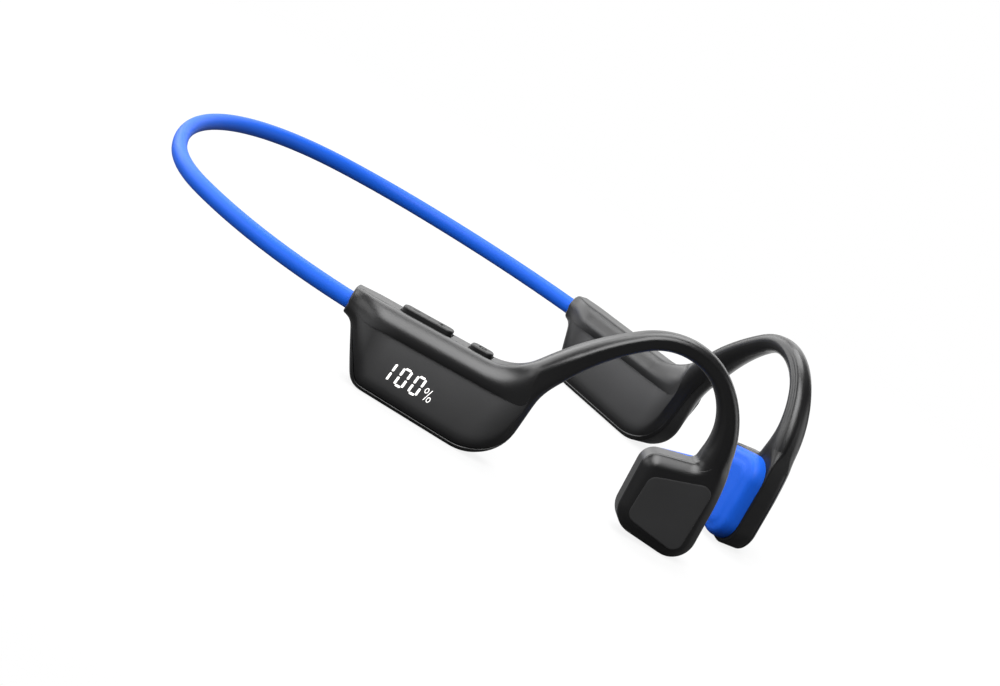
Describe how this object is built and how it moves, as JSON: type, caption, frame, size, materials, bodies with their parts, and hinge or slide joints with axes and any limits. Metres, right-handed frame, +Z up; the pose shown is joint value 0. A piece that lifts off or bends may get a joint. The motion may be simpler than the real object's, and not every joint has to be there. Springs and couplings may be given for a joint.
{
  "type": "bone conduction headphones",
  "caption": "Open-ear bone conduction headphones: blue neckband, ear hooks and pads, black control pods with a charge display and buttons, and transducers ahead of the ears.",
  "frame": {"origin": "middle of the footprint, on the surface that the headset stands on", "axes": "+X to the wearer's left, +Y to the back of the neckband, +Z up"},
  "size_m": [0.1266, 0.168, 0.0471],
  "materials": {
    "casing": "soft-touch satin black",
    "panel": "fine matt dark grey",
    "cover": "fine matt dark grey",
    "button": "ribbed matt black",
    "blue_silicone": "soft satin blue silicone",
    "display_light": "lit white segments",
    "contact_gold": "gold plated",
    "memory_wire": "drawn nickel titanium",
    "cable_jacket": "black jacket",
    "foil": "laminated foil pouch",
    "board": "green solder mask",
    "inner_plastic": "moulded, grey",
    "steel": "plain steel",
    "magnet": "nickel plated neodymium",
    "copper": "enamelled copper winding"
  },
  "bodies": {
    "headset": {"board_carrier": "inner_plastic", "button_bracket": "inner_plastic", "button_switches": "inner_plastic", "charging_contacts": "contact_gold", "display_board": "board", "display_digits": "display_light", "left_battery": "foil", "left_contact_pad": "blue_silicone", "left_contact_plate": "inner_plastic", "left_driver_coil": "copper", "left_driver_frame": "inner_plastic", "left_driver_spring": "memory_wire", "left_ear_hook": "casing", "left_face_panel": "panel", "left_hook_leads": "cable_jacket", "left_hook_wire": "memory_wire", "left_pod_inner_shell": "casing", "left_pod_outer_shell": "casing", "left_transducer_cover": "cover", "left_transducer_housing": "casing", "main_board": "board", "microphone": "steel", "neckband_cable": "cable_jacket", "neckband_sleeve": "blue_silicone", "neckband_wire": "memory_wire", "radio_board": "board", "right_battery": "foil", "right_contact_pad": "blue_silicone", "right_contact_plate": "inner_plastic", "right_driver_coil": "copper", "right_driver_frame": "inner_plastic", "right_driver_spring": "memory_wire", "right_ear_hook": "casing", "right_face_panel": "panel", "right_hook_leads": "cable_jacket", "right_hook_wire": "memory_wire", "right_pod_inner_shell": "casing", "right_pod_outer_shell": "casing", "right_transducer_cover": "cover", "right_transducer_housing": "casing", "rocker_pin": "steel", "switch_board": "board"},
    "volume_rocker": {"volume_rocker": "button"},
    "power_button": {"power_button": "button"},
    "right_driver": {"right_driver_yoke": "steel", "right_driver_magnet": "magnet", "right_driver_pole": "steel"},
    "left_driver": {"left_driver_yoke": "steel", "left_driver_magnet": "magnet", "left_driver_pole": "steel"}
  },
  "joints": [
    {"name": "volume_rocker_tilt", "type": "hinge", "parent": "headset", "child": "volume_rocker", "pos_m": [-0.05466, -0.01555, 0.01793], "axis": [-0.9511, -0.309, 0], "range_deg": [-1.5, 1.5], "stiffness_Nm_per_rad": 0.2},
    {"name": "power_button_press", "type": "slide", "parent": "headset", "child": "power_button", "axis": [0.0146, -0.0448, -0.9989], "range_m": [0, 0.0003], "stiffness_N_per_m": 3000},
    {"name": "right_driver_travel", "type": "slide", "parent": "headset", "child": "right_driver", "axis": [-0.8039, -0.5948, 0], "range_m": [-0.00015, 0.00015], "stiffness_N_per_m": 430, "deforming": ["right_driver_spring"]},
    {"name": "left_driver_travel", "type": "slide", "parent": "headset", "child": "left_driver", "axis": [0.8039, -0.5948, 0], "range_m": [-0.00015, 0.00015], "stiffness_N_per_m": 430, "deforming": ["left_driver_spring"]}
  ]
}
